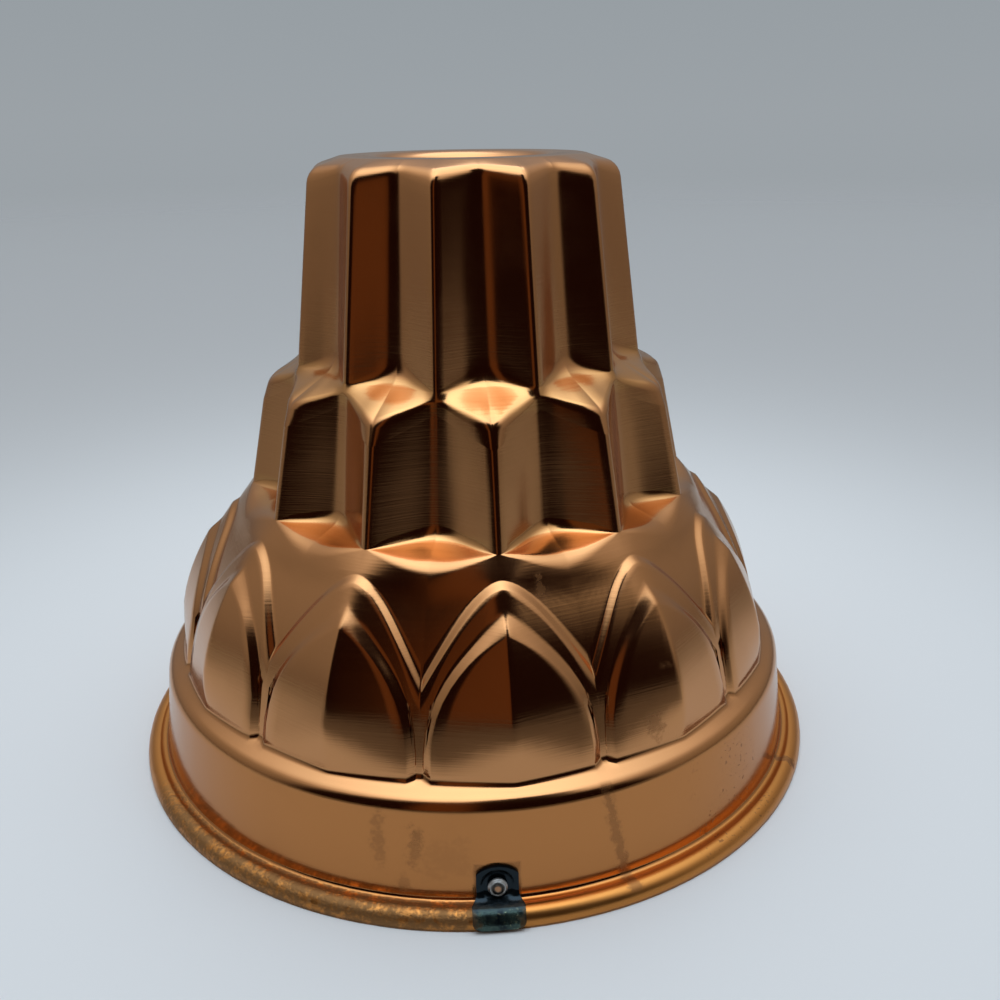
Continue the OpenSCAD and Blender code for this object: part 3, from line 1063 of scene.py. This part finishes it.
def floor_material(settings):
    """Matt table with a painted pool of light near the mould, and a dark room in front for what the
    metal mirrors.
    """
    material, nodes = new_material("table_finish")
    _, x, y, _ = nodes.own_place()
    reach = (x * x + y * y).root()
    # Painted pool of light: the table, and the table that the metal mirrors, are paler near the
    # mould and darker far off
    painted_pool = 1 / (1 + (reach / LIT_POOL_REACH) ** LIT_POOL_FALL)
    front = (facing(x, y, 0, FRONT) / reach).rise(*FLOOR_FRONT_EDGE) * reach.rise(*GLOOM_FROM)
    table = nodes.blend(painted_pool, rgba(settings.far_floor), rgba(settings.floor))
    gloom = nodes.blend(reach.rise(*GLOOM_TO_FAR), GLOOM_NEAR, GLOOM_FAR)
    mirrored = nodes.blend(front, nodes.blend(painted_pool, MIRRORED_FAR, MIRRORED_NEAR), gloom)
    glossy = nodes.wire(nodes.add("ShaderNodeLightPath").outputs["Is Glossy Ray"])
    shader = nodes.add(
        "ShaderNodeBsdfPrincipled",
        sockets={
            "Base Color": nodes.blend(glossy, table, mirrored),
            "Roughness": 0.7,
            "Specular IOR Level": 0.2,
        },
    )
    clear = nodes.add("ShaderNodeBsdfTransparent")
    faded = nodes.add(
        "ShaderNodeMixShader",
        sockets={0: reach.rise(*FADE), 1: shader.outputs[0], 2: clear.outputs[0]},
    )
    nodes.add("ShaderNodeOutputMaterial", sockets={"Surface": faded.outputs[0]})
    return material


def studio_world():
    """Pale surroundings, bright above, a window behind and a dark room in front of the mould."""
    world = bpy.data.worlds.new("studio")
    world.use_nodes = True
    nodes = Finish(world.node_tree)
    x, y, z = nodes.axes(nodes.add("ShaderNodeTexCoord").outputs["Generated"])
    front = facing(x, y, z, FRONT).rise(*FRONT_EDGE)
    spot = facing(x, y, z, DARK_SPOT).rise(*DARK_SPOT_EDGE)
    window = facing(x, y, z, WINDOW).rise(*WINDOW_EDGE)
    warm = (facing(x, y, 0, WARM_SIDE) / (x * x + y * y).root()).rise(*WARM_SIDE_EDGE)
    mirrored = nodes.coats(
        nodes.ramp(z, SKY),
        (window, WINDOW_LIGHT),
        (front.at_least(spot), nodes.blend(warm, GLOOM, WARM)),
    )
    seen = nodes.wire(nodes.add("ShaderNodeLightPath").outputs["Is Camera Ray"])
    colour = nodes.blend(seen, mirrored, nodes.ramp(z, BACKDROP))
    back = nodes.add("ShaderNodeBackground", sockets={"Color": colour, "Strength": 1.0})
    nodes.add("ShaderNodeOutputWorld", sockets={"Surface": back.outputs[0]})
    bpy.context.scene.world = world


class MOULD_OT_stage(bpy.types.Operator):
    """Lay the floor, hang the lamp and set up the camera."""

    bl_idname = "mould.stage"
    bl_label = "Set the stage"

    def execute(self, context):
        settings = context.scene.mould_stage_settings
        bm = bmesh.new()
        bmesh.ops.create_circle(bm, cap_ends=True, segments=TABLE_SIDES, radius=TABLE_R)
        floor = finish_mesh(bm, "table", floor_material(settings))
        studio_world()
        lamp = bpy.data.lights.new("softbox", "AREA")
        lamp.shape = "DISK"
        lamp.size = settings.lamp_size
        lamp.energy = settings.lamp_power
        lamp_object = bpy.data.objects.new("softbox", lamp)
        lamp_object.location = LAMP_PLACE
        lamp_object.visible_glossy = False
        context.collection.objects.link(lamp_object)
        camera = bpy.data.cameras.new("photo_camera")
        camera.lens = LENS
        camera.sensor_width = SENSOR
        camera.clip_start = 0.01
        camera_object = bpy.data.objects.new("photo_camera", camera)
        camera_object.matrix_world = camera_matrix()
        context.collection.objects.link(camera_object)
        context.scene.camera = camera_object
        context.scene.view_settings.view_transform = "Standard"
        return {"FINISHED"}


class MOULD_PT_panel(bpy.types.Panel):
    """Lists the mould's pieces and their settings."""

    bl_idname = "MOULD_PT_panel"
    bl_label = "Tiered Mould"
    bl_space_type = "VIEW_3D"
    bl_region_type = "UI"
    bl_category = "Mould"

    def draw(self, context):
        scene = context.scene
        for label, group, operator in (
            ("Shell", scene.mould_shell_settings, "mould.shell"),
            ("Tab and rivet", scene.mould_fitting_settings, "mould.fittings"),
            ("Stage", scene.mould_stage_settings, "mould.stage"),
        ):
            box = self.layout.box()
            box.label(text=label)
            for name in group.bl_rna.properties.keys():
                if name not in ("rna_type", "name"):
                    box.prop(group, name)
            box.operator(operator)


CLASSES = (
    ShellSettings,
    FittingSettings,
    StageSettings,
    MOULD_OT_shell,
    MOULD_OT_fittings,
    MOULD_OT_stage,
    MOULD_PT_panel,
)


def register():
    for cls in CLASSES:
        bpy.utils.register_class(cls)
    bpy.types.Scene.mould_shell_settings = bpy.props.PointerProperty(type=ShellSettings)
    bpy.types.Scene.mould_fitting_settings = bpy.props.PointerProperty(type=FittingSettings)
    bpy.types.Scene.mould_stage_settings = bpy.props.PointerProperty(type=StageSettings)


def unregister():
    del bpy.types.Scene.mould_stage_settings
    del bpy.types.Scene.mould_fitting_settings
    del bpy.types.Scene.mould_shell_settings
    for cls in reversed(CLASSES):
        bpy.utils.unregister_class(cls)


def main():
    register()
    bpy.ops.mould.shell()
    bpy.ops.mould.fittings()
    bpy.ops.mould.stage()


if __name__ == "__main__":
    main()
